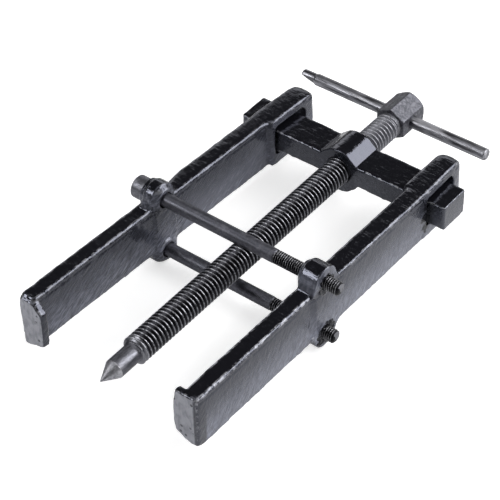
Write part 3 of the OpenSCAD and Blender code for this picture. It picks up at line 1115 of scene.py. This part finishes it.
@dataclass
class ClampBolt:
    """One long socket screw with a black oxide finish."""

    node: str
    body: str
    seat: Sequence[float]  # middle of the face under the head, in metres
    direction: Sequence[float]
    radius: float = 3.0
    depth: float = 0.6
    pitch: float = 1.0
    length: float = 96.7
    thread_len: float = 31.0
    thin: float = 0.06
    head_voxel: float = 0.16

    @property
    def crest(self) -> float:
        """Radius of the thread's crests."""
        return self.radius - self.thin

    def head(self, solid: Object, along: Vector) -> Mesh:
        """Head with its socket, cut from the solid just past its seat.

        Args:
            solid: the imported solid.
            along: unit vector from the head to the thread.

        Returns:
            The closed mesh.
        """
        bm = copied(solid)
        cut_off(bm, Vector(self.seat) + along * (0.4 * MM), along)
        return reskinned(bm, self.head_voxel)

    def shank(self, start: float) -> Mesh:
        """Plain shank along X.

        Args:
            start: where the thread begins.

        Returns:
            The closed mesh.
        """
        plain = self.radius - 0.01
        profile = [
            (0.2, 0.0), (0.2, self.radius + 0.1), (0.6, plain),
            (start - 0.7, plain), (start, self.radius - 0.3), (start, 0.0),
        ]
        return turned(profile, Axis.X, Vector((0.0, 0.0, 0.0)))

    def thread(self, start: float) -> Mesh:
        """Thread along X, with a bevelled end and a run-out into the shank.

        Args:
            start: where the thread begins.

        Returns:
            The closed mesh.
        """
        origin = Vector((0.0, 0.0, 0.0))
        crest, front = self.crest, start - 1.0
        end = self.length - 0.02
        thread = Thread(Axis.X, crest, self.depth, self.pitch, front, end, steps=32)
        bm = thread.mesh(origin)

        def limit(x: float) -> float:
            """Largest radius at a place along the bolt."""
            bevel = crest - 0.55 + 1.2 * max(self.length - x, 0.0)
            return min(bevel, crest - 0.5 + 0.45 * max(x - front, 0.0))

        thread.eased(bm, origin, limit)
        return bm

    def finishes(self, along: Vector) -> list[Material]:
        """Materials in the order shank, thread, head.

        Args:
            along: unit vector from the head to the thread.

        Returns:
            The materials.
        """
        shank = Steel(
            "black_oxide", (0.135, 0.137, 0.16), (0.10, 0.102, 0.12), (0.18, 0.18, 0.205),
            rough=0.42, grain=0.6, grain_depth=0.006,
        )
        thread = ThreadSteel(
            self.node + "_thread", self.seat, Axis.X, self.radius - self.depth, self.crest,
            (0.015, 0.015, 0.017), (0.34, 0.34, 0.36),
            turn=-math.degrees(math.atan2(along.y, along.x)),
        )
        head = Steel(
            "rubbed_oxide", (0.21, 0.212, 0.24), (0.15, 0.152, 0.172), (0.27, 0.27, 0.30),
            rough=0.46, grain=0.6, grain_depth=0.01,
        )
        return [finish.material() for finish in (shank, thread, head)]

    def build(self, solid: Object) -> Object:
        """Make the bolt.

        Args:
            solid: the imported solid.

        Returns:
            The object.
        """
        along = Vector(self.direction).normalized()
        aligned = Vector((1.0, 0.0, 0.0)).rotation_difference(along).to_matrix().to_4x4()
        into_place = Matrix.Translation(Vector(self.seat)) @ aligned
        start = self.length - self.thread_len
        head, shank, thread = self.head(solid, along), self.shank(start), self.thread(start)
        for bm in (shank, thread):
            bmesh.ops.transform(bm, matrix=into_place, verts=bm.verts)
        shells = [(head, 2), (shank, 0), (thread, 1)]
        piece = new_object(self.node + "_steel", joined(shells))
        return dressed(piece, self.finishes(along), self.body, self.node)


# studio


@dataclass(frozen=True)
class SoftBox:
    """Large square lamp that faces the object."""

    name: str
    azimuth: float  # round Z from X, in degrees
    elevation: float
    distance: float  # in metres, as its sides
    width: float
    height: float
    brightness: float

    def build(self, target: Vector) -> None:
        """Hang the lamp.

        Args:
            target: the point that it faces.
        """
        lamp = bpy.data.lights.new(self.name, "AREA")
        lamp.shape = "RECTANGLE"
        lamp.size = self.width
        lamp.size_y = self.height
        lamp.energy = self.brightness * math.pi * self.width * self.height
        a, e = math.radians(self.azimuth), math.radians(self.elevation)
        away = Vector((math.cos(a) * math.cos(e), math.sin(a) * math.cos(e), math.sin(e)))
        box = bpy.data.objects.new(self.name, lamp)
        box.location = target + away * self.distance
        box.rotation_euler = away.to_track_quat("Z", "Y").to_euler()
        box.visible_camera = False
        bpy.context.scene.collection.objects.link(box)


@dataclass
class Studio:
    """Floor, lamps and camera."""

    target: Vector = Vector((0.15131, -11.654, 20.164)) * MM
    azimuth: float = 38.900  # of the camera, round Z from -Y, in degrees
    elevation: float = 42.440
    roll: float = -1.746
    distance: float = 807.535 * MM
    lens: float = 144.17
    sensor: float = 36.0
    clip: float = 0.02
    floor_size: float = 3.0
    floor_white: float = 0.82
    camera_glow: float = 0.63  # of the floor near the object
    glow_span: Span = (0.35, 1.0)  # where it rises to pure white, in metres
    mirror_glow: float = 0.12
    wall: float = 0.30
    ceiling: float = 0.05
    wall_top: float = 0.45  # height in a unit view vector

    def build(self) -> None:
        """Make the floor, the lamps, the world and the camera."""
        bpy.context.scene.view_settings.view_transform = "Standard"
        self.floor()
        self.world()
        boxes = (
            SoftBox("back_right_box", 40.0, 36.0, 0.9, width=0.95, height=0.62, brightness=5.0),
            SoftBox("front_left_box", 232.0, 40.0, 0.9, width=0.42, height=0.30, brightness=7.0),
            SoftBox("top_box", 0.0, 90.0, 1.2, width=0.8, height=0.8, brightness=1.2),
            SoftBox("back_left_strip", 129.0, 22.0, 0.9, width=0.9, height=0.22, brightness=1.3),
        )
        for box in boxes:
            box.build(self.target)
        self.camera()

    def floor(self) -> None:
        """Lay the white floor, which keeps the object's shadow."""
        bm = bmesh.new()
        bmesh.ops.create_grid(bm, x_segments=1, y_segments=1, size=self.floor_size)
        floor = new_object("floor", bm)
        g = Graph(bpy.data.materials.new("floor_white"))
        rays = g.tree.nodes.new("ShaderNodeLightPath").outputs
        reach = g.made("ShaderNodeVectorMath", {0: g.place}, "Value", operation="LENGTH")
        white = g.span(reach, *self.glow_span, self.camera_glow, 1.0)
        mirrored = g.math("MAXIMUM", rays["Is Glossy Ray"], rays["Is Transmission Ray"])
        seen = g.times(rays["Is Camera Ray"], white)
        seen = g.math("ADD", seen, g.times(mirrored, self.mirror_glow))
        glow = g.made("ShaderNodeEmission", {"Strength": seen})
        diffuse = g.made("ShaderNodeBsdfDiffuse", {"Color": [self.floor_white] * 3})
        g.show(g.made("ShaderNodeAddShader", {0: diffuse, 1: glow}))
        floor.data.materials.append(g.owner)

    def world(self) -> None:
        """Make the room: white to the camera and dim to everything else."""
        g = Graph(bpy.data.worlds.new("room"))
        height = g.part(g.coordinates["Generated"], "Z")
        wall = g.span(height, 0.0, self.wall_top, self.wall, self.ceiling, "LINEAR")
        rays = g.tree.nodes.new("ShaderNodeLightPath").outputs
        strength = g.span(rays["Is Camera Ray"], 0.0, 1.0, wall, 1.0, "LINEAR")
        g.show(g.made("ShaderNodeBackground", {"Strength": strength}))
        bpy.context.scene.world = g.owner

    def camera(self) -> None:
        """Stand the camera where the photograph was taken from."""
        a, e, r = (math.radians(v) for v in (self.azimuth, self.elevation, self.roll))
        back = Vector((math.sin(a) * math.cos(e), -math.cos(a) * math.cos(e), math.sin(e)))
        right = Vector((math.cos(a), math.sin(a), 0.0))
        up = back.cross(right)
        right, up = (
            math.cos(r) * right + math.sin(r) * up,
            -math.sin(r) * right + math.cos(r) * up,
        )
        data = bpy.data.cameras.new("camera")
        data.sensor_width = self.sensor
        data.lens = self.lens
        data.clip_start = self.clip
        turn = Matrix((right, up, back)).transposed().to_4x4()
        camera = bpy.data.objects.new("camera", data)
        camera.matrix_world = Matrix.Translation(self.target + back * self.distance) @ turn
        bpy.context.scene.collection.objects.link(camera)
        bpy.context.scene.camera = camera


def forgings() -> tuple[tuple[Forging, tuple[Enamel, ...]], ...]:
    """The beam and both jaws.

    Returns:
        Each forging with its finishes.
    """
    beam = Forging(
        "crossbeam", "beam_enamel", seed=1.0, voxel=0.36, half_height=6.0, crown=0.1,
        bead=0.14, bead_lumps=0.10, groove=0.0, rim_rear=0.8, clear_of=(-0.13, 13.5),
        nose_y=1000.0, nose_rim=1.0, worn=(), along_edges=(0.4, 1.0, 1.0),
    )
    beam_black = Enamel(
        "beam_black", streak_depth=0.12, ripple_depth=0.06, low=(0.12, 0.123, 0.14),
        along_edges=(0.35, 1.0, 1.0),
    )
    left = Forging(
        "left_jaw", "jaw_enamel", seed=2.0, lean=57.0, streaks=0.15, streak_len=0.3,
        rim_front=0.4, rim_rear=0.25,
        worn=(
            (69.5, 90.0, 0.0, 60), (-11.0, 90.0, 29.6, 45),
            (-110.0, -92.6, 28.5, 6), (-110.0, -93.2, 0.0, 10),
        ),
    )
    left_black = Enamel(
        "left_jaw_black", dusty=(0.04, 0.042, 0.053), low=(0.25, 0.262, 0.325),
        lean=57.0, streak_depth=0.2, streak_size=1.4, streak_long=0.34,
        streak_span=(0.36, 0.70), streak_floor=0.25, nose_end=-0.091,
    )
    right = Forging(
        "right_jaw", "jaw_enamel", seed=4.0, corner_rim=0.5,
        bolts=(
            (-21.0, 33.4, 4.9), (-20.8, 7.2, 5.9),
            (47.0, 25.0, 2.4), (47.2, 19.5, 2.8), (47.4, 14.5, 2.4),
        ),
    )
    right_black = Enamel("right_jaw_black", nose_end=-0.094, nose_side=0.0412)
    # darker enamel without sheen and with less reflection: painted shade round the bolts and
    # beside the window
    collar_and_shade = Enamel(
        "painted_shade_black", dusty=right_black.colour, low=right_black.colour, index=1.38
    )
    return (beam, (beam_black,)), (left, (left_black,)), (right, (right_black, collar_and_shade))


def main() -> None:
    """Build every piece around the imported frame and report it."""
    logging.basicConfig(level=logging.INFO, format="%(name)s: %(message)s")
    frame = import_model()
    nodes = frame["nodes"]
    joints = {j["name"]: j for j in frame["record"]["behaviour"]["joints"]}
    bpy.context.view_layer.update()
    for forging, finishes in forgings():
        forging.build(nodes[forging.node], [finish.material() for finish in finishes])
    PressingScrew().build(nodes["spindle"])
    TommyBar().build(nodes["tommy_bar"])
    for side in ("upper", "lower"):
        turn = joints[side + "_bolt_turn"]
        bolt = ClampBolt(side + "_clamp_bolt", side + "_bolt", turn["pos_m"], turn["axis"])
        bolt.build(nodes[bolt.node])
    Studio().build()


if __name__ == "__main__":
    main()
